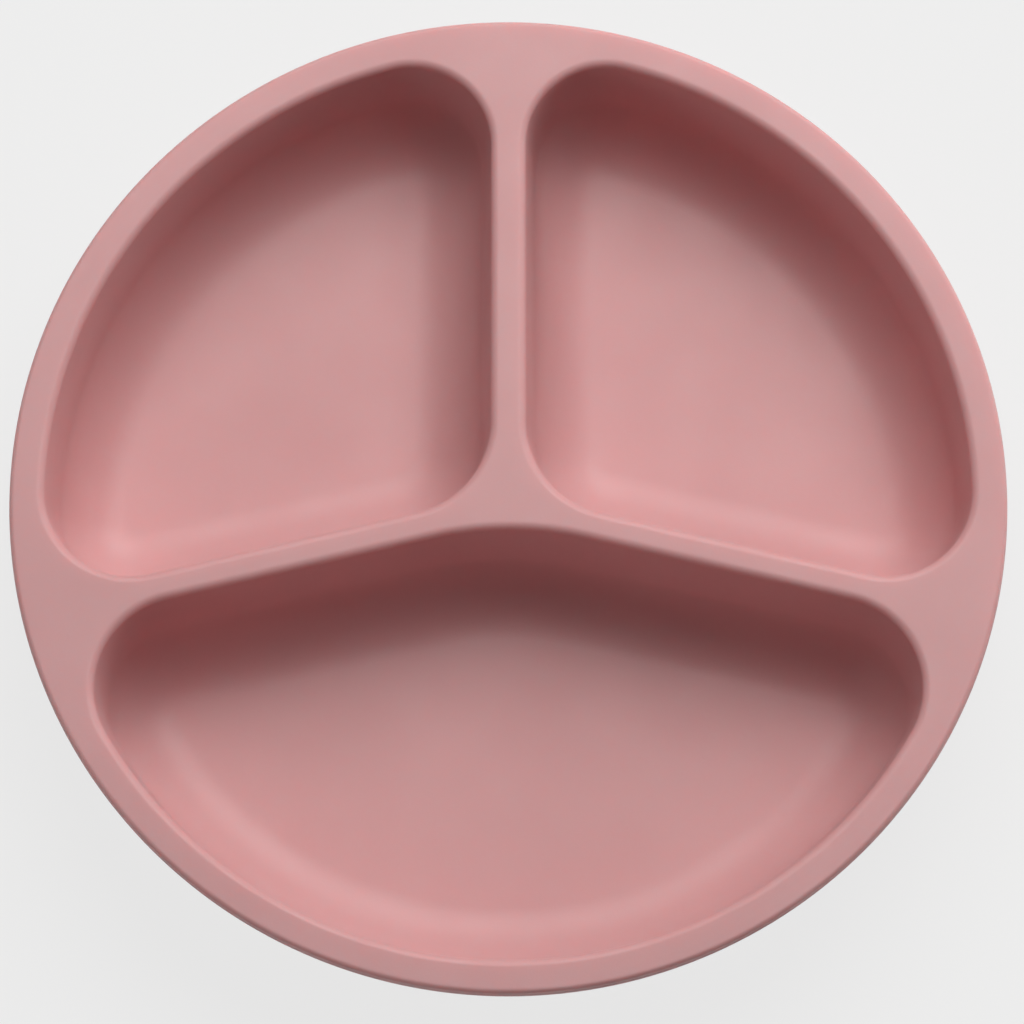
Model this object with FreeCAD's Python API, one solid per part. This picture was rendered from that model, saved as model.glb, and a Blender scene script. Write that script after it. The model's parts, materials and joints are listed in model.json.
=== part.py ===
import FreeCAD
import Part
import math
import os

# Baby suction plate, one moulded silicone piece
# Millimetres and degrees, +Z up, +Y towards the upright bar of the divider
# Origin on the table under the middle of the plate

V = FreeCAD.Vector

# Plate sizes
PLATE_RADIUS = 95.0
PLATE_HEIGHT = 38.0
FLOOR_THICKNESS = 3.0
RIM_WIDTH = 6.6
RIM_EDGE_HEIGHT = 3.6
RIM_OUTER_ROUND = 0.9
RIM_FACETS = 2
OUTER_WALL_LEAN = 14.0
HEEL_ROUND = 14.0
HEEL_FACETS = 4
UNDERSIDE_Z = 5.5

# Pocket wall section, the same all the way round
WALL_LEAN = 6.0
TOP_EDGE_ROUND = 1.6
TOP_EDGE_FACETS = 3
FLOOR_FILLET = 13.0
FILLET_PARTS = 5
LEAST_FLOOR_CORNER = 0.5

# Divider
BACK_BAR_WIDTH = 6.5
SIDE_BAR_WIDTH = 5.5
SIDE_BAR_FALL = 13.3
JUNCTION_Y = -0.9

# Plan radii of the pocket corners at the top edge
BACK_CORNER_RADIUS = 15.5
SIDE_CORNER_RADIUS = 16.5
MIDDLE_CORNER_RADIUS = 18.5
FRONT_CORNER_RADIUS = 17.5
FRONT_APEX_RADIUS = 64.0

# Suction foot
FOOT_RADIUS = 60.0
FOOT_CONTACT_WIDTH = 2.0
LIP_EDGE_HEIGHT = 0.9
LIP_UNDER_RISE = 13.0
LIP_ROOT_RADIUS = 49.5
LIP_ROOT_GAP = 1.6
VACUUM_DEPTH = 3.0
RELEASE_TAB_WIDTH = 16.0
RELEASE_TAB_REACH = 12.0
RELEASE_TAB_THICKNESS = 1.8
RELEASE_TAB_Z = 0.5
RELEASE_TAB_CHAMFER = 0.5

# Values that follow from the sizes above
RIM_FLAT_RADIUS = PLATE_RADIUS - RIM_OUTER_ROUND
POCKET_FLOOR_Z = UNDERSIDE_Z + FLOOR_THICKNESS
POCKET_DEPTH = PLATE_HEIGHT - POCKET_FLOOR_Z
POCKET_RADIUS = PLATE_RADIUS - RIM_WIDTH
BACK_HALF = BACK_BAR_WIDTH / 2
SIDE_HALF = SIDE_BAR_WIDTH / 2
LEAN = math.radians(WALL_LEAN)
FALL = math.radians(SIDE_BAR_FALL)
HALF_TURN = math.tan((math.pi / 2 - LEAN) / 2)
EDGE_SPREAD = TOP_EDGE_ROUND * HALF_TURN
WALL_RUN = POCKET_DEPTH * math.tan(LEAN)
TIGHT_CORNER = min(
    BACK_CORNER_RADIUS, SIDE_CORNER_RADIUS, MIDDLE_CORNER_RADIUS, FRONT_CORNER_RADIUS
)
# The floor fillet leaves the tightest corner a small radius on the floor
FLOOR_ROUND = min(FLOOR_FILLET, (TIGHT_CORNER - LEAST_FLOOR_CORNER - WALL_RUN) / HALF_TURN)
FLOOR_INSET = WALL_RUN + FLOOR_ROUND * HALF_TURN


def polar(centre, radius, angle, z):
    """Point at a plan angle in degrees round a plan centre."""
    a = math.radians(angle)
    return V(centre[0] + radius * math.cos(a), centre[1] + radius * math.sin(a), z)


def angle_of(point):
    return math.degrees(math.atan2(point[1], point[0]))


def three_point_arc(a, mid, b):
    return Part.Arc(a, mid, b).toShape()


def mirrored(faces):
    """The same faces on the other side of the upright plane through the back bar."""
    return [f.mirror(V(0, 0, 0), V(1, 0, 0)) for f in faces]


def bar_corner(radius, side):
    """Centre of a corner that touches a side bar and the rim circle."""
    normal = (math.sin(FALL), math.cos(FALL))
    along = (math.cos(FALL), -math.sin(FALL))
    off = side * (SIDE_HALF + radius)
    px = normal[0] * off
    py = JUNCTION_Y + normal[1] * off
    reach = POCKET_RADIUS - radius
    dot = px * along[0] + py * along[1]
    t = -dot + math.sqrt(dot * dot + reach * reach - px * px - py * py)
    return (px + along[0] * t, py + along[1] * t)


# Outlines: arcs (centre, radius, start, end) going anticlockwise, joined by straight lines
def upper_pocket_arcs():
    """Right upper pocket: middle corner, side corner, rim arc, back corner."""
    down = 270.0 - SIDE_BAR_FALL
    mid_x = BACK_HALF + MIDDLE_CORNER_RADIUS
    rise = SIDE_HALF + MIDDLE_CORNER_RADIUS - math.sin(FALL) * mid_x
    middle = (mid_x, JUNCTION_Y + rise / math.cos(FALL))
    side = bar_corner(SIDE_CORNER_RADIUS, 1)
    back_x = BACK_HALF + BACK_CORNER_RADIUS
    reach = POCKET_RADIUS - BACK_CORNER_RADIUS
    back = (back_x, math.sqrt(reach * reach - back_x * back_x))
    return [
        (middle, MIDDLE_CORNER_RADIUS, 180.0, down),
        (side, SIDE_CORNER_RADIUS, down - 360.0, angle_of(side)),
        ((0.0, 0.0), POCKET_RADIUS, angle_of(side), angle_of(back)),
        (back, BACK_CORNER_RADIUS, angle_of(back), 180.0),
    ]


def lower_pocket_arcs():
    """Wide front pocket: rim arc, right corner, shallow apex, left corner."""
    up = 90.0 - SIDE_BAR_FALL
    right = bar_corner(FRONT_CORNER_RADIUS, -1)
    left = (-right[0], right[1])
    apex = (0.0, JUNCTION_Y - (SIDE_HALF + FRONT_APEX_RADIUS) / math.cos(FALL))
    turn = angle_of(right)
    return [
        ((0.0, 0.0), POCKET_RADIUS, 180.0 - turn, 360.0 + turn),
        (right, FRONT_CORNER_RADIUS, turn, up),
        (apex, FRONT_APEX_RADIUS, up, 180.0 - up),
        (left, FRONT_CORNER_RADIUS, 180.0 - up, 180.0 - turn),
    ]


def outline_wire(arcs, inset, z):
    """Closed pocket outline moved inwards by inset, at height z."""
    edges = []
    count = len(arcs)
    for i in range(count):
        centre, radius, start, end = arcs[i]
        r = radius - inset
        a = polar(centre, r, start, z)
        b = polar(centre, r, end, z)
        edges.append(three_point_arc(a, polar(centre, r, (start + end) / 2, z), b))
        after = arcs[(i + 1) % count]
        c = polar(after[0], after[1] - inset, after[2], z)
        if b.distanceToPoint(c) > 0.001:
            edges.append(Part.makeLine(b, c))
    return Part.Wire(edges)


def facet_points(x, z, radius, start, end, count):
    """Points on an arc about (x, z), for a rounding drawn as flat facets."""
    points = []
    for k in range(count + 1):
        a = start + (end - start) * k / count
        points.append((x + radius * math.cos(a), z + radius * math.sin(a)))
    return points


def wall_section(centre, radius, angle):
    """Rounded top edge, steep wall and large floor fillet in one upright plane."""

    def at(inset, z):
        return polar(centre, radius - inset, angle, z)

    def on_fillet(step):
        a = math.pi + LEAN + (math.pi / 2 - LEAN) * step / (2 * FILLET_PARTS)
        low_z = POCKET_FLOOR_Z + FLOOR_ROUND
        return at(FLOOR_INSET + FLOOR_ROUND * math.cos(a), low_z + FLOOR_ROUND * math.sin(a))

    top_z = PLATE_HEIGHT - TOP_EDGE_ROUND
    top = facet_points(-EDGE_SPREAD, top_z, TOP_EDGE_ROUND, math.pi / 2, LEAN, TOP_EDGE_FACETS)
    straight = Part.makePolygon([at(inset, z) for inset, z in top] + [on_fillet(0)])
    fillet = [
        three_point_arc(on_fillet(2 * k), on_fillet(2 * k + 1), on_fillet(2 * k + 2))
        for k in range(FILLET_PARTS)
    ]
    return Part.Wire(straight.Edges + fillet)


def pocket_faces(arcs):
    """Walls and floor of one pocket."""
    faces = []
    count = len(arcs)
    for i in range(count):
        centre, radius, start, end = arcs[i]
        section = wall_section(centre, radius, start)
        axis = V(centre[0], centre[1], 0)
        faces += section.revolve(axis, V(0, 0, 1), end - start).Faces
        after = arcs[(i + 1) % count]
        a = polar(centre, radius, end, 0)
        b = polar(after[0], after[1], after[2], 0)
        if a.distanceToPoint(b) > 0.001:
            faces += wall_section(centre, radius, end).extrude(b - a).Faces
    faces.append(Part.Face(outline_wire(arcs, FLOOR_INSET, POCKET_FLOOR_Z)))
    return faces


def outside_faces():
    """Rim edge, outer wall, underside, flared suction lip and vacuum hollow."""
    lean = math.radians(OUTER_WALL_LEAN)
    edge_z = PLATE_HEIGHT - RIM_EDGE_HEIGHT
    wall_foot = PLATE_RADIUS - (edge_z - UNDERSIDE_Z) * math.tan(lean)
    heel_x = wall_foot - HEEL_ROUND * math.tan((math.pi / 2 - lean) / 2)
    contact = FOOT_RADIUS - FOOT_CONTACT_WIDTH
    hollow_x = contact - VACUUM_DEPTH / math.tan(math.radians(LIP_UNDER_RISE))
    r = RIM_OUTER_ROUND
    corners = [
        *facet_points(PLATE_RADIUS - r, PLATE_HEIGHT - r, r, math.pi / 2, 0, RIM_FACETS),
        (PLATE_RADIUS, edge_z),
        *facet_points(heel_x, UNDERSIDE_Z + HEEL_ROUND, HEEL_ROUND, -lean, -math.pi / 2, HEEL_FACETS),
        (LIP_ROOT_RADIUS, UNDERSIDE_Z),
        (LIP_ROOT_RADIUS, UNDERSIDE_Z - LIP_ROOT_GAP),
        (FOOT_RADIUS, LIP_EDGE_HEIGHT),
        (FOOT_RADIUS, 0.0),
        (contact, 0.0),
        (hollow_x, VACUUM_DEPTH),
        (0.0, VACUUM_DEPTH),
    ]
    profile = Part.makePolygon([V(x, 0, z) for x, z in corners])
    profile.rotate(V(0, 0, 0), V(0, 0, 1), -90)
    right = profile.revolve(V(0, 0, 0), V(0, 0, 1), 180).Faces
    return right + mirrored(right)


def release_tab():
    """Rounded finger tongue on the edge of the suction lip."""
    half = RELEASE_TAB_WIDTH / 2
    inner_y = -(FOOT_RADIUS - FOOT_CONTACT_WIDTH - 0.6)
    end_y = -(FOOT_RADIUS + RELEASE_TAB_REACH - half)
    a = V(half, inner_y, RELEASE_TAB_Z)
    b = V(half, end_y, RELEASE_TAB_Z)
    c = V(0, end_y - half, RELEASE_TAB_Z)
    d = V(-half, end_y, RELEASE_TAB_Z)
    e = V(-half, inner_y, RELEASE_TAB_Z)
    wire = Part.Wire([
        Part.makeLine(a, b),
        three_point_arc(b, c, d),
        Part.makeLine(d, e),
        Part.makeLine(e, a),
    ])
    tab = Part.Face(wire).extrude(V(0, 0, RELEASE_TAB_THICKNESS))
    sharp = []
    for edge in tab.Edges:
        box = edge.BoundBox
        level = box.ZLength < 0.001
        at_root = box.YLength < 0.001 and abs(box.YMin - inner_y) < 0.001
        if level and not at_root:
            sharp.append(edge)
    return tab.makeChamfer(RELEASE_TAB_CHAMFER, sharp)


def rim_face(upper, lower):
    """Flat top of the rim and the divider, open at the three pockets."""
    face = Part.Face(Part.Wire(Part.makeCircle(RIM_FLAT_RADIUS, V(0, 0, PLATE_HEIGHT))))
    right = outline_wire(upper, -EDGE_SPREAD, PLATE_HEIGHT)
    left = right.mirror(V(0, 0, 0), V(1, 0, 0))
    front = outline_wire(lower, -EDGE_SPREAD, PLATE_HEIGHT)
    for mouth in (right, left, front):
        face = face.cut(Part.Face(mouth))
    return face


def suction_plate():
    upper = upper_pocket_arcs()
    lower = lower_pocket_arcs()
    right = pocket_faces(upper)
    left = mirrored(right)
    front = pocket_faces(lower)
    rim = rim_face(upper, lower)
    shell = Part.makeShell(outside_faces() + rim.Faces + right + left + front)
    shell.sewShape()
    body = Part.makeSolid(shell)
    if body.Volume < 0:
        body.reverse()
    return body.fuse(release_tab())


def main():
    os.makedirs("parts", exist_ok=True)
    plate = suction_plate()
    if len(plate.Solids) != 1 or not plate.isValid():
        raise RuntimeError("the plate is not one sound solid")
    plate = plate.Solids[0]
    box = plate.BoundBox
    print("size", round(box.XLength, 3), round(box.YLength, 3), round(box.ZLength, 3))
    print("volume", round(plate.Volume, 1), "area", round(plate.Area, 1), "faces", len(plate.Faces))
    plate.exportStep("parts/suction_plate.step")


main()
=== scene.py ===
import json
import math

import bmesh
import bpy
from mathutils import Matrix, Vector

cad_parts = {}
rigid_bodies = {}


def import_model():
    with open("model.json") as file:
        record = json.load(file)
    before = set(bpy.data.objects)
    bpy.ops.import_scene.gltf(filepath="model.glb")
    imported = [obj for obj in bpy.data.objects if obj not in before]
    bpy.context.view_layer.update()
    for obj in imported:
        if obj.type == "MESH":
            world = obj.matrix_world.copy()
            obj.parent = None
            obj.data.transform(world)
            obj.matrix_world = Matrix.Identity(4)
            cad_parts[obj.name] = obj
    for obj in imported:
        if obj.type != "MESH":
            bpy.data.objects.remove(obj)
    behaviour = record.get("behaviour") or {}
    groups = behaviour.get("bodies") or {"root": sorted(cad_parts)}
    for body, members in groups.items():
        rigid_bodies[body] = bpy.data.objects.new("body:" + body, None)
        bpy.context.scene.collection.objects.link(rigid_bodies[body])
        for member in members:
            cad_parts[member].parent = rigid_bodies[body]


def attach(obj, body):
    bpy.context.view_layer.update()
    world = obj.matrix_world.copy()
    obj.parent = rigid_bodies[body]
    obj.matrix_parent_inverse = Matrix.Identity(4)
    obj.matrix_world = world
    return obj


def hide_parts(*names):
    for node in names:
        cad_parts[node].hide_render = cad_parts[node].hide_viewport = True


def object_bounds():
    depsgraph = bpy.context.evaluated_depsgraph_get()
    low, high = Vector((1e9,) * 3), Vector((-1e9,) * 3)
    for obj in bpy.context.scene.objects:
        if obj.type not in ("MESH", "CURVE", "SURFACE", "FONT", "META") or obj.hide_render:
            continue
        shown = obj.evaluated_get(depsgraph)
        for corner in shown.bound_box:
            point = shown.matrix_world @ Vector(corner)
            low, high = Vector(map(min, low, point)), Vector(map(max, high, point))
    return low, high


bl_info = {
    "name": "Baby suction plate",
    "version": (1, 0, 0),
    "blender": (4, 5, 0),
    "location": "View3D > Sidebar > Plate",
    "description": "Models a moulded silicone baby plate with three compartments and a suction foot",
    "category": "Add Mesh",
}

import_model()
CAD_LOW, CAD_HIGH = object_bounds()

PLATE_NODE = "suction_plate"
MM = 0.001

# Modelling
SPIN_STEPS = 240
TOP_EDGE_STEPS = 9
FLOOR_FILLET_STEPS = 20
WALL_PARTS = (0.04, 0.46, 0.46, 0.04)
CORNER_STEPS = 30
MIDDLE_CORNER_STEPS = 22
APEX_STEPS = 20
BACK_RIM_STEPS = 44
FRONT_RIM_STEPS = 76
RIM_ROUND_STEPS = 8
HEEL_STEPS = 16
SMALL_ROUND_STEPS = 4
CONTACT_STEPS = 3
TAB_END_STEPS = 32
TAB_BEVEL_STEPS = 4
FLAT_BORDER = 0.3 * MM
PEN_DOT = 0.01
MERGE_DISTANCE = 2e-6
SHARP_ANGLE = math.radians(40)

# Parting line on the rim's edge band
PARTING_PLACE = 0.62
PARTING_HALF = 0.22 * MM
PARTING_FLAT = 0.4

# Small roundings of the suction foot and its tab
GROOVE_MOUTH_ROUND = 0.5 * MM
GROOVE_ROOT_ROUND = 0.4 * MM
LIP_TOP_ROUND = 0.3 * MM
LIP_FOOT_ROUND = 0.25 * MM
CONTACT_ROUND = 0.6 * MM
HOLLOW_ROUND = 4.0 * MM
TAB_OVERLAP = 0.6 * MM
TAB_BEVEL = 0.6 * MM

# Faces that get the polished finish: they look down, inside the lip and under its groove
POLISHED_DOWN = -0.3
POLISHED_BORDER = 0.2 * MM
POLISHED_RISE = 1.2

# Patterns of the silicone
CLOUD_SIZE = 45.0 * MM
CLOUD_EDGES = (0.35, 0.65)
SMEAR_SIZE = 12.0 * MM
SMEAR_EDGES = (0.3, 0.7)
SATIN_SMEAR = 0.04
POLISHED_SMEAR = 0.03
GRAIN_SIZE = 0.35 * MM
GRAIN_ROUGHNESS = 0.6
GRAIN_STRENGTH = 0.6
POLISHED_GRAIN = 0.15

# Stage
FLOOR_SIZE = 12.0
FLOOR_DROP = 0.2 * MM
FLOOR_GLOW = 0.9
FLOOR_ROUGHNESS = 0.9
LAMP_TARGET = (0.0, 0.0, 0.02)
LAMP_DISTANCE = 1.2
LEFT_LAMP_SHARE = 0.4
SENSOR_WIDTH = 36.0
VIEW_END = 20.0
CAMERA_TARGET = (0.0007, -0.0023, 0.038)
CAMERA_ELEVATION = math.radians(76.9)
CAMERA_DISTANCE = 1.5


# ---------------------------------------------------------------- sizes and colours


def length(name, description, default):
    """A length property in metres, shown in the scene's own unit."""
    return bpy.props.FloatProperty(
        name=name, description=description, default=default * MM, min=0.0,
        subtype="DISTANCE", unit="LENGTH", precision=5,
    )


def place(name, description, default):
    """A signed place in metres."""
    return bpy.props.FloatProperty(
        name=name, description=description, default=default * MM,
        subtype="DISTANCE", unit="LENGTH", precision=5,
    )


def slope(name, description, default):
    return bpy.props.FloatProperty(
        name=name, description=description, default=math.radians(default),
        subtype="ANGLE", unit="ROTATION",
    )


def share(name, description, default, most=1.0):
    return bpy.props.FloatProperty(
        name=name, description=description, default=default, min=0.0, max=most, precision=4,
    )


def colour(name, description, default):
    return bpy.props.FloatVectorProperty(
        name=name, description=description, default=default,
        subtype="COLOR", size=3, min=0.0, max=1.0,
    )


class PlateBodySizes(bpy.types.PropertyGroup):
    """Rim, outer wall and underside"""

    radius: length("Plate radius", "Radius over the rim", CAD_HIGH.y / MM)
    height: length("Plate height", "Height of the rim above the table", CAD_HIGH.z / MM)
    rim_width: length("Rim width", "From the outer edge to a compartment", 6.6)
    rim_band: length("Rim band", "Height of the upright band of the rim", 3.6)
    rim_round: length("Rim rounding", "Rounding of the outer top edge", 0.9)
    band_round: length("Band rounding", "Rounding under the upright band", 0.8)
    wall_lean: slope("Outer wall lean", "Lean of the outer wall from upright", 14.0)
    heel_round: length("Heel rounding", "Rounding from the outer wall to the underside", 14.0)
    underside: length("Underside height", "Height of the flat underside above the table", 5.5)
    parting: length("Parting line", "How far the mould's parting line stands proud", 0.1)


class PocketSizes(bpy.types.PropertyGroup):
    """Compartments and the divider between them"""

    depth: length("Depth", "From the rim to the compartment floor", 29.5)
    wall_lean: slope("Wall lean", "Lean of the compartment walls from upright", 6.0)
    top_round: length("Top edge rounding", "Rounding from the rim into a compartment", 1.6)
    floor_round: length("Floor fillet", "Rounding from a wall into the floor", 13.0)
    back_bar: length("Back bar width", "Width of the upright bar of the divider", 6.5)
    side_bar: length("Side bar width", "Width of the two side bars of the divider", 5.5)
    side_fall: slope("Side bar fall", "How far the side bars fall towards the front", 13.3)
    junction: place("Junction place", "Where the bars meet, behind the middle", -0.9)
    back_corner: length("Back corner radius", "Plan radius beside the back bar", 15.5)
    side_corner: length("Side corner radius", "Plan radius at the ends of the side bars", 16.5)
    middle_corner: length("Middle corner radius", "Plan radius beside the junction", 18.5)
    front_corner: length("Front corner radius", "Plan radius at the ends of the front pocket", 17.5)
    apex: length("Front apex radius", "Plan radius under the junction", 64.0)


class FootSizes(bpy.types.PropertyGroup):
    """Suction foot and its release tab"""

    radius: length("Foot radius", "Radius of the suction lip", 60.0)
    contact: length("Contact width", "Width of the ring that touches the table", 2.0)
    lip_edge: length("Lip edge", "Thickness of the lip at its edge", 0.9)
    lip_rise: slope("Lip rise", "Slope under the lip", 13.0)
    root_radius: length("Root radius", "Radius where the lip leaves the underside", 49.5)
    root_gap: length("Root gap", "Height of the groove above the lip's root", 1.6)
    vacuum: length("Vacuum depth", "Height of the hollow under the foot", 3.0)
    crown: length("Hollow crown", "How far the hollow rises to the middle", 0.35)
    tab_width: length("Tab width", "Width of the release tab", 16.0)
    tab_reach: length("Tab reach", "How far the release tab passes the lip", 12.0)
    tab_thickness: length("Tab thickness", "Thickness of the release tab", 1.8)
    tab_height: length("Tab height", "Underside of the tab above the table", 0.5)


class SiliconeFinish(bpy.types.PropertyGroup):
    """Colour and surface of the moulded silicone"""

    rose: colour("Silicone", "Body colour", (0.69, 0.369, 0.369))
    rose_deep: colour("Silicone, deeper", "Colour of the faint deeper patches", (0.673, 0.355, 0.355))
    glow: colour("Glow", "How far each colour spreads inside the silicone", (1.0, 0.35, 0.3))
    spread: length("Spread", "How far light spreads inside the silicone", 6.0)
    depth: share("Depth", "Share of the light that spreads inside the silicone", 0.5)
    bend: bpy.props.FloatProperty(
        name="Bend", description="Index of refraction of silicone", default=1.43, min=1.0,
    )
    matt: share("Matt finish", "Roughness of the satin mould surface", 0.45)
    polished: share("Polished finish", "Roughness of the suction face", 0.2)
    grain: length("Grain", "Depth of the fine mould grain", 0.02)


class StageLook(bpy.types.PropertyGroup):
    """Floor, lamps and camera"""

    backdrop: colour("Backdrop", "Colour of the pale floor", (0.862, 0.862, 0.86))
    lamp_power: bpy.props.FloatProperty(
        name="Window lamp", description="Power of the large soft lamp",
        default=14.5, min=0.0, subtype="POWER", unit="POWER",
    )
    side_power: bpy.props.FloatProperty(
        name="Side lamps", description="Power of the low lamp on the right, the left one has less",
        default=3.0, min=0.0, subtype="POWER", unit="POWER",
    )
    fill: share("Fill", "Strength of the light from all round", 0.035, 4.0)
    lens: bpy.props.FloatProperty(
        name="Lens", description="Focal length in millimetres", default=277.5, min=1.0,
    )


# ---------------------------------------------------------------- drawing and modelling steps


def start_piece(name, point):
    """A new mesh that holds one selected vertex, ready to be drawn on with the pen."""
    if bpy.context.object and bpy.context.object.mode != "OBJECT":
        bpy.ops.object.mode_set(mode="OBJECT")
    bpy.ops.object.select_all(action="DESELECT")
    bpy.ops.mesh.primitive_plane_add(size=PEN_DOT, location=(0.0, 0.0, 0.0))
    piece = bpy.context.object
    piece.name = name
    piece.data.name = name
    bpy.ops.object.mode_set(mode="EDIT")
    bpy.ops.mesh.select_mode(type="VERT")
    bpy.ops.mesh.select_all(action="SELECT")
    bpy.ops.mesh.merge(type="CENTER")
    bpy.ops.transform.translate(value=point)
    return piece


def new_start(point):
    """One more loose vertex in the mesh being drawn, the only one selected."""
    bpy.ops.mesh.select_all(action="DESELECT")
    bpy.ops.mesh.primitive_plane_add(size=PEN_DOT, location=(0.0, 0.0, 0.0))
    bpy.ops.mesh.merge(type="CENTER")
    bpy.ops.transform.translate(value=point)


def pen_line(start, end):
    """A straight edge from the selected vertex."""
    move = Vector(end) - Vector(start)
    bpy.ops.mesh.extrude_vertices_move(TRANSFORM_OT_translate={"value": move})


def pen_arc(centre, axis, angle, steps):
    """An arc of edges from the selected vertex, right-handed about the axis."""
    bpy.ops.mesh.spin(steps=steps, angle=-angle, center=centre, axis=axis)


def draw_profile(points):
    """An upright open profile through (x, z, rounding, steps) corners."""
    last = Vector((points[0][0], 0.0, points[0][1]))
    for i in range(1, len(points)):
        x, z, radius, steps = points[i]
        corner = Vector((x, 0.0, z))
        if radius > 0.0:
            after = Vector((points[i + 1][0], 0.0, points[i + 1][1]))
            back = (last - corner).normalized()
            on = (after - corner).normalized()
            half = back.angle(on) / 2.0
            reach = radius / math.tan(half)
            if (corner + back * reach - last).length > MERGE_DISTANCE:
                pen_line(last, corner + back * reach)
            centre = corner + (back + on).normalized() * (radius / math.sin(half))
            turn = math.pi - 2.0 * half
            side = 1.0 if back.cross(on).y < 0.0 else -1.0
            pen_arc(centre, (0.0, 1.0, 0.0), side * turn, steps)
            last = corner + on * reach
        else:
            pen_line(last, corner)
            last = corner


def on_circle(centre, radius, angle, z):
    return Vector((centre[0] + radius * math.cos(angle), centre[1] + radius * math.sin(angle), z))


def draw_outline(arcs, inset, z):
    """A closed level outline of (centre, radius, start, end, steps) arcs joined by lines."""
    first = on_circle(arcs[0][0], arcs[0][1] - inset, arcs[0][2], z)
    new_start(first)
    for i, (centre, radius, start, end, steps) in enumerate(arcs):
        pen_arc((centre[0], centre[1], z), (0.0, 0.0, 1.0), end - start, steps)
        here = on_circle(centre, radius - inset, end, z)
        after = arcs[(i + 1) % len(arcs)]
        there = on_circle(after[0], after[1] - inset, after[2], z)
        if (here - there).length > 10.0 * MERGE_DISTANCE:
            pen_line(here, there)


def edit_mesh():
    return bmesh.from_edit_mesh(bpy.context.object.data)


def select_where(kind, test):
    """Only the vertices, edges or faces that pass the test stay selected."""
    bpy.ops.mesh.select_all(action="DESELECT")
    bpy.ops.mesh.select_mode(type=kind)
    mesh = edit_mesh()
    parts = {"VERT": mesh.verts, "EDGE": mesh.edges, "FACE": mesh.faces}[kind]
    found = [p for p in parts if test(p)]
    for p in found:
        p.select_set(True)
    mesh.select_flush_mode()
    bmesh.update_edit_mesh(bpy.context.object.data)
    if not found:
        raise RuntimeError("nothing to select")


# ---------------------------------------------------------------- the compartments' outlines


def corner_beside_bar(plate, pocket, radius, side):
    """Centre of a corner that touches a side bar and the rim."""
    fall = pocket.side_fall
    normal = Vector((math.sin(fall), math.cos(fall)))
    along = Vector((math.cos(fall), -math.sin(fall)))
    foot = Vector((0.0, pocket.junction)) + normal * (side * (pocket.side_bar / 2.0 + radius))
    reach = plate.radius - plate.rim_width - radius
    dot = foot.dot(along)
    run = -dot + math.sqrt(dot * dot + reach * reach - foot.length_squared)
    return tuple(foot + along * run)


def plan_angle(point):
    return math.atan2(point[1], point[0])


def back_pocket(plate, pocket):
    """Right back compartment: middle corner, side corner, rim arc, back corner."""
    down = 1.5 * math.pi - pocket.side_fall
    inner = plate.radius - plate.rim_width
    mid_x = pocket.back_bar / 2.0 + pocket.middle_corner
    rise = pocket.side_bar / 2.0 + pocket.middle_corner - math.sin(pocket.side_fall) * mid_x
    middle = (mid_x, pocket.junction + rise / math.cos(pocket.side_fall))
    side = corner_beside_bar(plate, pocket, pocket.side_corner, 1.0)
    back_x = pocket.back_bar / 2.0 + pocket.back_corner
    reach = inner - pocket.back_corner
    back = (back_x, math.sqrt(reach * reach - back_x * back_x))
    return [
        (middle, pocket.middle_corner, math.pi, down, MIDDLE_CORNER_STEPS),
        (side, pocket.side_corner, down - 2.0 * math.pi, plan_angle(side), CORNER_STEPS),
        ((0.0, 0.0), inner, plan_angle(side), plan_angle(back), BACK_RIM_STEPS),
        (back, pocket.back_corner, plan_angle(back), math.pi, CORNER_STEPS),
    ]


def mirrored_arcs(arcs):
    """The same outline on the other side of the back bar, still anticlockwise."""
    flipped = []
    for centre, radius, start, end, steps in reversed(arcs):
        flipped.append(((-centre[0], centre[1]), radius, math.pi - end, math.pi - start, steps))
    return flipped


def front_pocket(plate, pocket):
    """Front compartment: rim arc, right corner, apex under the junction, left corner."""
    up = math.pi / 2.0 - pocket.side_fall
    right = corner_beside_bar(plate, pocket, pocket.front_corner, -1.0)
    left = (-right[0], right[1])
    apex_y = pocket.junction - (pocket.side_bar / 2.0 + pocket.apex) / math.cos(pocket.side_fall)
    inner = plate.radius - plate.rim_width
    turn = plan_angle(right)
    return [
        ((0.0, 0.0), inner, math.pi - turn, 2.0 * math.pi + turn, FRONT_RIM_STEPS),
        (right, pocket.front_corner, turn, up, CORNER_STEPS),
        ((0.0, apex_y), pocket.apex, up, math.pi - up, APEX_STEPS),
        (left, pocket.front_corner, math.pi - up, math.pi - turn, CORNER_STEPS),
    ]


# ---------------------------------------------------------------- the moulded plate


def half_turn(lean):
    return math.tan((math.pi / 2.0 - lean) / 2.0)


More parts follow.
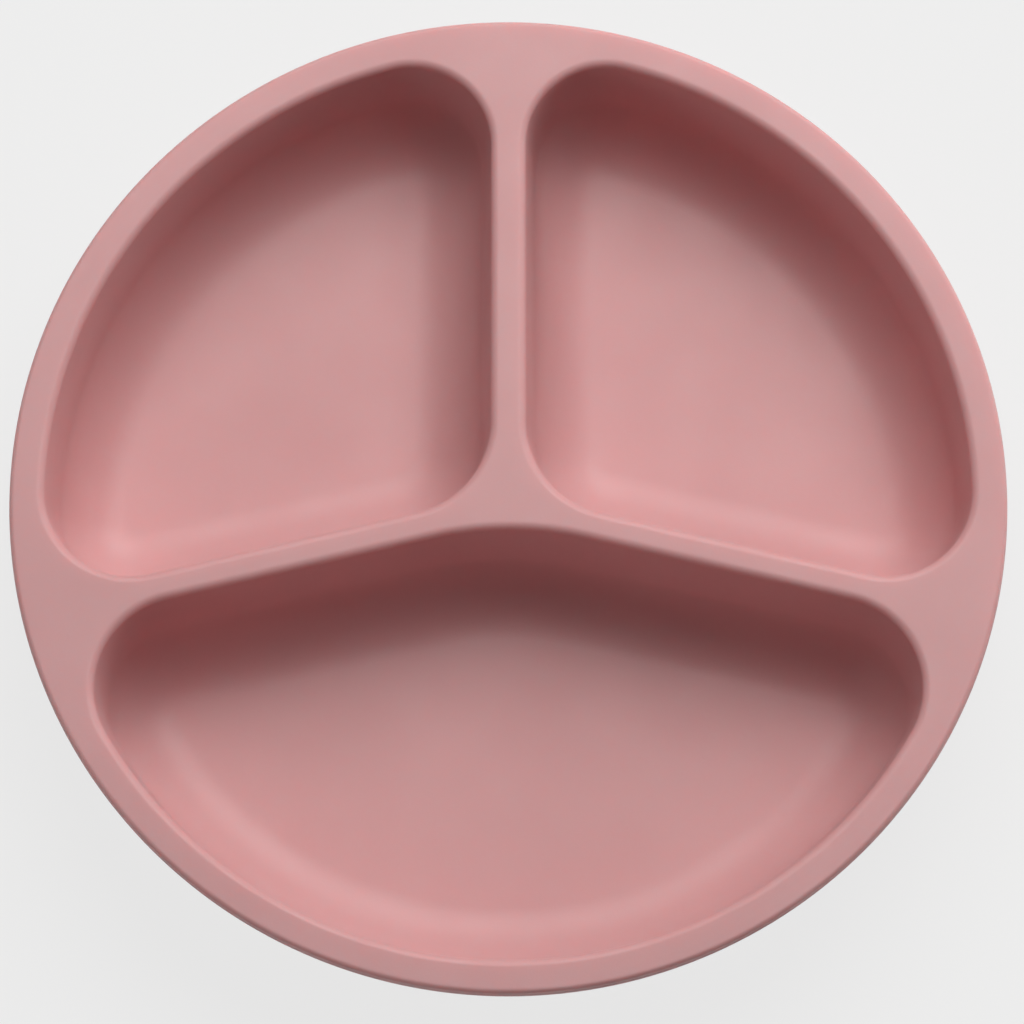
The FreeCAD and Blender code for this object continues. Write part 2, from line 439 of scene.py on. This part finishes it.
def outside_profile(plate, foot):
    """Corners from the rim's top, down the outside and under the foot to the middle."""
    band_z = plate.height - plate.rim_band
    wall_foot = plate.radius - (band_z - plate.underside) * math.tan(plate.wall_lean)
    contact = foot.radius - foot.contact
    hollow = contact - foot.vacuum / math.tan(foot.lip_rise)
    root_z = plate.underside - foot.root_gap
    line_z = plate.height - plate.rim_band * PARTING_PLACE
    line = PARTING_HALF
    body = plate.radius - plate.parting
    return [
        (plate.radius - plate.rim_round - FLAT_BORDER - plate.parting, plate.height, 0.0, 0),
        (body, plate.height, plate.rim_round, RIM_ROUND_STEPS),
        (body, line_z + line, 0.0, 0),
        (plate.radius, line_z + line * PARTING_FLAT, 0.0, 0),
        (plate.radius, line_z - line * PARTING_FLAT, 0.0, 0),
        (body, line_z - line, 0.0, 0),
        (body, band_z, plate.band_round, SMALL_ROUND_STEPS),
        (wall_foot, plate.underside, plate.heel_round, HEEL_STEPS),
        (foot.root_radius, plate.underside, GROOVE_MOUTH_ROUND, SMALL_ROUND_STEPS),
        (foot.root_radius, root_z, GROOVE_ROOT_ROUND, SMALL_ROUND_STEPS),
        (foot.radius, foot.lip_edge, LIP_TOP_ROUND, SMALL_ROUND_STEPS),
        (foot.radius, 0.0, LIP_FOOT_ROUND, SMALL_ROUND_STEPS),
        (contact, 0.0, CONTACT_ROUND, CONTACT_STEPS),
        (hollow, foot.vacuum, HOLLOW_ROUND, SMALL_ROUND_STEPS),
        (0.0, foot.vacuum + foot.crown, 0.0, 0),
    ]


def spin_outside(plate, foot):
    """Draws the outside's profile and spins it once round the middle."""
    points = outside_profile(plate, foot)
    piece = start_piece("moulded_plate", (points[0][0], 0.0, points[0][1]))
    draw_profile(points)
    bpy.ops.mesh.select_all(action="SELECT")
    bpy.ops.mesh.spin(
        steps=SPIN_STEPS, angle=2.0 * math.pi, center=(0.0, 0.0, 0.0), axis=(0.0, 0.0, 1.0)
    )
    bpy.ops.mesh.select_all(action="SELECT")
    bpy.ops.mesh.remove_doubles(threshold=MERGE_DISTANCE)
    return piece


def sink_pocket(arcs, plate, pocket):
    """Draws one compartment's mouth and sinks it by even insets down to its floor."""
    spread = pocket.top_round * half_turn(pocket.wall_lean)
    low = math.sin(pocket.wall_lean)
    draw_outline(arcs, -(spread + FLAT_BORDER), plate.height)
    bpy.ops.mesh.select_linked()
    bpy.ops.mesh.remove_doubles(threshold=MERGE_DISTANCE)
    bpy.ops.mesh.edge_face_add()
    face_up()
    steps = [(FLAT_BORDER, 0.0)]
    sweep = math.pi / 2.0 - pocket.wall_lean
    for i in range(TOP_EDGE_STEPS):
        a, b = sweep * i / TOP_EDGE_STEPS, sweep * (i + 1) / TOP_EDGE_STEPS
        steps.append((
            pocket.top_round * (math.sin(b) - math.sin(a)),
            pocket.top_round * (math.cos(a) - math.cos(b)),
        ))
    top_fall = pocket.top_round * (1.0 - low)
    low_rise = pocket.floor_round * (1.0 - low)
    fall = pocket.depth - top_fall - low_rise
    for part in WALL_PARTS:
        steps.append((fall * part * math.tan(pocket.wall_lean), fall * part))
    for i in range(FLOOR_FILLET_STEPS):
        a = sweep * (1.0 - i / FLOOR_FILLET_STEPS)
        b = sweep * (1.0 - (i + 1) / FLOOR_FILLET_STEPS)
        steps.append((
            pocket.floor_round * (math.sin(a) - math.sin(b)),
            pocket.floor_round * (math.cos(b) - math.cos(a)),
        ))
    steps.append((FLAT_BORDER, 0.0))
    for sideways, down in steps:
        bpy.ops.mesh.inset(thickness=sideways, depth=-down, use_even_offset=True)


def face_up():
    """Turns the selected face so that it looks up."""
    mesh = edit_mesh()
    chosen = [f for f in mesh.faces if f.select]
    if len(chosen) != 1:
        raise RuntimeError("the outline did not close into one face")
    if chosen[0].normal.z < 0.0:
        bpy.ops.mesh.flip_normals()


def close_rim_top():
    """Fills the rim and the divider between the outer edge and the three mouths."""
    select_where("EDGE", lambda e: e.is_boundary)
    bpy.ops.mesh.fill(use_beauty=True)


def raise_tab(foot):
    """Release tab: a rounded tongue drawn from above, pulled up and softened."""
    half = foot.tab_width / 2.0
    inner = -(foot.radius - foot.contact - TAB_OVERLAP)
    end = -(foot.radius + foot.tab_reach - half)
    z = foot.tab_height
    tab = start_piece("release_tab", (half, inner, z))
    pen_line((half, inner, z), (half, end, z))
    pen_arc((0.0, end, z), (0.0, 0.0, 1.0), -math.pi, TAB_END_STEPS)
    pen_line((-half, end, z), (-half, inner, z))
    bpy.ops.mesh.select_all(action="SELECT")
    bpy.ops.mesh.remove_doubles(threshold=MERGE_DISTANCE)
    bpy.ops.mesh.edge_face_add()
    bpy.ops.mesh.extrude_region_move(
        TRANSFORM_OT_translate={"value": (0.0, 0.0, foot.tab_thickness)}
    )
    bpy.ops.mesh.select_all(action="SELECT")
    bpy.ops.mesh.normals_make_consistent(inside=False)
    select_where(
        "EDGE",
        lambda e: abs(e.verts[0].co.z - e.verts[1].co.z) < MERGE_DISTANCE
        and not all(abs(v.co.y - inner) < MERGE_DISTANCE for v in e.verts),
    )
    bpy.ops.mesh.bevel(
        offset=TAB_BEVEL, segments=TAB_BEVEL_STEPS, profile=0.5, clamp_overlap=False
    )
    bpy.ops.object.mode_set(mode="OBJECT")
    return tab


def join_solid(piece, tool):
    """Unites the tool with the piece and removes the tool."""
    bpy.ops.object.select_all(action="DESELECT")
    bpy.context.view_layer.objects.active = piece
    piece.select_set(True)
    union = piece.modifiers.new("union", "BOOLEAN")
    union.operation = "UNION"
    union.solver = "EXACT"
    union.object = tool
    bpy.ops.object.modifier_apply(modifier=union.name)
    bpy.data.objects.remove(tool)


def smooth_piece(piece):
    bpy.ops.object.select_all(action="DESELECT")
    bpy.context.view_layer.objects.active = piece
    piece.select_set(True)
    bpy.ops.object.shade_smooth_by_angle(angle=SHARP_ANGLE)


class PLATE_OT_moulded_plate(bpy.types.Operator):
    """Model the silicone plate: rim, compartments, divider, suction foot and release tab"""

    bl_idname = "plate.moulded_plate"
    bl_label = "Moulded plate"
    bl_options = {"REGISTER", "UNDO"}

    def execute(self, context):
        plate = context.scene.plate_body
        pocket = context.scene.plate_pockets
        foot = context.scene.plate_foot
        finish = context.scene.plate_finish
        piece = spin_outside(plate, foot)
        right = back_pocket(plate, pocket)
        for arcs in (right, mirrored_arcs(right), front_pocket(plate, pocket)):
            sink_pocket(arcs, plate, pocket)
        close_rim_top()
        bpy.ops.mesh.select_all(action="SELECT")
        bpy.ops.mesh.normals_make_consistent(inside=False)
        bpy.ops.object.mode_set(mode="OBJECT")
        join_solid(piece, raise_tab(foot))
        smooth_piece(piece)
        piece.data.materials.clear()
        piece.data.materials.append(satin_silicone(finish))
        piece.data.materials.append(polished_silicone(finish))
        inside = foot.radius - POLISHED_BORDER
        below = plate.underside - foot.root_gap + foot.lip_edge * POLISHED_RISE
        for face in piece.data.polygons:
            c = face.center
            under = face.normal.z < POLISHED_DOWN and c.xy.length < inside
            face.material_index = 1 if under and c.z < below else 0
        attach(piece, "root")
        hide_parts(PLATE_NODE)
        return {"FINISHED"}


# ---------------------------------------------------------------- silicone


class Nodes:
    """Short calls to lay out one material's nodes."""

    def __init__(self, name):
        self.material = bpy.data.materials.new(name)
        self.material.use_nodes = True
        self.tree = self.material.node_tree
        self.shader = self.tree.nodes["Principled BSDF"]
        self.place = self.tree.nodes.new("ShaderNodeTexCoord").outputs["Object"]

    def add(self, kind, inputs=(), **settings):
        node = self.tree.nodes.new(kind)
        for key, value in settings.items():
            setattr(node, key, value)
        for key, value in dict(inputs).items():
            if isinstance(value, bpy.types.NodeSocket):
                self.tree.links.new(value, node.inputs[key])
            else:
                node.inputs[key].default_value = value
        return node

    def noise(self, size, detail=2.0, roughness=0.5):
        """Noise whose lumps are about that many metres across."""
        return self.add(
            "ShaderNodeTexNoise",
            {"Vector": self.place, "Scale": 1.0 / size, "Detail": detail, "Roughness": roughness},
        ).outputs["Fac"]

    def ramp(self, value, low, high, out_low, out_high):
        return self.add(
            "ShaderNodeMapRange",
            {"Value": value, "From Min": low, "From Max": high, "To Min": out_low, "To Max": out_high},
        ).outputs["Result"]

    def combine(self, operation, first, second):
        return self.add("ShaderNodeMath", {0: first, 1: second}, operation=operation).outputs[0]

    def into(self, socket, output):
        self.tree.links.new(output, self.shader.inputs[socket])


def silicone(name, finish, roughness, spread, grain):
    """Dyed silicone: faint clouding, micro grain from the mould and a little depth."""
    n = Nodes(name)
    cloud = n.ramp(n.noise(CLOUD_SIZE, 3.0), *CLOUD_EDGES, 0.0, 1.0)
    mix = n.add("ShaderNodeMix", {0: cloud}, data_type="RGBA")
    mix.inputs["A"].default_value = (*finish.rose, 1.0)
    mix.inputs["B"].default_value = (*finish.rose_deep, 1.0)
    n.into("Base Color", mix.outputs["Result"])
    smear = n.noise(SMEAR_SIZE, 2.0)
    n.into("Roughness", n.ramp(smear, *SMEAR_EDGES, roughness - spread, roughness + spread))
    fine = n.noise(GRAIN_SIZE, 2.0, GRAIN_ROUGHNESS)
    bump = n.add(
        "ShaderNodeBump", {"Strength": GRAIN_STRENGTH, "Distance": grain, "Height": fine}
    )
    n.into("Normal", bump.outputs["Normal"])
    s = n.shader.inputs
    s["IOR"].default_value = finish.bend
    s["Subsurface Weight"].default_value = finish.depth
    s["Subsurface Radius"].default_value = tuple(finish.glow)
    s["Subsurface Scale"].default_value = finish.spread
    return n.material


def satin_silicone(finish):
    return silicone("satin_silicone", finish, finish.matt, SATIN_SMEAR, finish.grain)


def polished_silicone(finish):
    grain = finish.grain * POLISHED_GRAIN
    return silicone("polished_silicone", finish, finish.polished, POLISHED_SMEAR, grain)


# ---------------------------------------------------------------- floor, lamps and camera


def backdrop_material(look):
    """Pale floor that shows as its plain colour and still takes the object's shadow."""
    n = Nodes("pale_floor")
    n.shader.inputs["Base Color"].default_value = (*look.backdrop, 1.0)
    n.shader.inputs["Roughness"].default_value = FLOOR_ROUGHNESS
    glow = n.add("ShaderNodeEmission", {"Color": (*look.backdrop, 1.0), "Strength": 1.0})
    ray = n.add("ShaderNodeLightPath").outputs
    seen = n.combine("MAXIMUM", ray["Is Camera Ray"], ray["Is Glossy Ray"])
    seen = n.combine("MAXIMUM", seen, ray["Is Transmission Ray"])
    part = n.combine("MULTIPLY", seen, FLOOR_GLOW)
    mix = n.add(
        "ShaderNodeMixShader",
        {0: part, 1: n.shader.outputs[0], 2: glow.outputs[0]},
    )
    out = n.tree.nodes["Material Output"]
    n.tree.links.new(mix.outputs[0], out.inputs["Surface"])
    return n.material


def pale_world(look):
    """Low even light all round, seen as the backdrop's colour."""
    world = bpy.data.worlds.new("pale_surroundings")
    bpy.context.scene.world = world
    world.use_nodes = True
    tree = world.node_tree
    ray = tree.nodes.new("ShaderNodeLightPath").outputs
    soft = tree.nodes["Background"]
    soft.inputs["Color"].default_value = (1.0, 1.0, 1.0, 1.0)
    soft.inputs["Strength"].default_value = look.fill
    plain = tree.nodes.new("ShaderNodeBackground")
    plain.inputs["Color"].default_value = (*look.backdrop, 1.0)
    either = tree.nodes.new("ShaderNodeMath")
    either.operation = "MAXIMUM"
    tree.links.new(ray["Is Camera Ray"], either.inputs[0])
    tree.links.new(ray["Is Transmission Ray"], either.inputs[1])
    mix = tree.nodes.new("ShaderNodeMixShader")
    tree.links.new(either.outputs[0], mix.inputs[0])
    tree.links.new(soft.outputs[0], mix.inputs[1])
    tree.links.new(plain.outputs[0], mix.inputs[2])
    tree.links.new(mix.outputs[0], tree.nodes["World Output"].inputs["Surface"])


def aim(thing, place, target):
    thing.location = place
    thing.rotation_euler = (Vector(target) - Vector(place)).to_track_quat("-Z", "Y").to_euler()


def from_angles(target, distance, azimuth, elevation):
    """A place seen from the target, the azimuth in degrees from the back to the right."""
    a, e = math.radians(azimuth), math.radians(elevation)
    away = Vector((math.cos(e) * math.sin(a), math.cos(e) * math.cos(a), math.sin(e)))
    return Vector(target) + away * distance


def soft_lamp(name, power, size, azimuth, elevation):
    """A round area lamp, aimed at the middle of the plate, its two angles in degrees."""
    bpy.ops.object.light_add(type="AREA")
    lamp = bpy.context.object
    lamp.name = name
    lamp.data.shape = "DISK"
    lamp.data.size = size
    lamp.data.energy = power
    aim(lamp, from_angles(LAMP_TARGET, LAMP_DISTANCE, azimuth, elevation), LAMP_TARGET)


class PLATE_OT_stage(bpy.types.Operator):
    """Set the pale floor, the soft lamps and the camera"""

    bl_idname = "plate.stage"
    bl_label = "Stage"
    bl_options = {"REGISTER", "UNDO"}

    def execute(self, context):
        look = context.scene.plate_stage
        bpy.ops.object.select_all(action="DESELECT")
        bpy.ops.mesh.primitive_plane_add(size=FLOOR_SIZE, location=(0.0, 0.0, -FLOOR_DROP))
        floor = context.object
        floor.name = "floor"
        bpy.ops.object.transform_apply(location=True, rotation=True, scale=True)
        floor.data.materials.append(backdrop_material(look))
        pale_world(look)

        soft_lamp("window_lamp", look.lamp_power, 1.1, 15.0, 57.0)
        soft_lamp("right_lamp", look.side_power, 0.5, 65.0, 12.0)
        soft_lamp("left_lamp", look.side_power * LEFT_LAMP_SHARE, 0.5, 240.0, 12.0)

        target = Vector(CAMERA_TARGET)
        bpy.ops.object.camera_add()
        camera = context.object
        camera.name = "product_camera"
        camera.data.sensor_width = SENSOR_WIDTH
        camera.data.lens = look.lens
        camera.data.clip_end = VIEW_END
        away = Vector((0.0, -math.cos(CAMERA_ELEVATION), math.sin(CAMERA_ELEVATION)))
        aim(camera, target + away * CAMERA_DISTANCE, target)
        context.scene.camera = camera
        context.scene.view_settings.view_transform = "Standard"
        return {"FINISHED"}


# ---------------------------------------------------------------- sidebar and registration


class PLATE_PT_sidebar(bpy.types.Panel):
    """Steps and sizes of the plate"""

    bl_idname = "PLATE_PT_sidebar"
    bl_label = "Baby suction plate"
    bl_space_type = "VIEW_3D"
    bl_region_type = "UI"
    bl_category = "Plate"

    def draw(self, context):
        layout = self.layout
        layout.operator(PLATE_OT_moulded_plate.bl_idname)
        layout.operator(PLATE_OT_stage.bl_idname)
        for name in GROUPS:
            group = getattr(context.scene, name)
            box = layout.box()
            box.label(text=type(group).__doc__)
            for key in type(group).__annotations__:
                box.prop(group, key)


GROUPS = {
    "plate_body": PlateBodySizes,
    "plate_pockets": PocketSizes,
    "plate_foot": FootSizes,
    "plate_finish": SiliconeFinish,
    "plate_stage": StageLook,
}
CLASSES = (*GROUPS.values(), PLATE_OT_moulded_plate, PLATE_OT_stage, PLATE_PT_sidebar)


def register():
    for cls in CLASSES:
        bpy.utils.register_class(cls)
    for name, group in GROUPS.items():
        setattr(bpy.types.Scene, name, bpy.props.PointerProperty(type=group))


def unregister():
    for name in GROUPS:
        delattr(bpy.types.Scene, name)
    for cls in reversed(CLASSES):
        bpy.utils.unregister_class(cls)


def main():
    register()
    bpy.ops.plate.moulded_plate()
    bpy.ops.plate.stage()


if __name__ == "__main__":
    main()
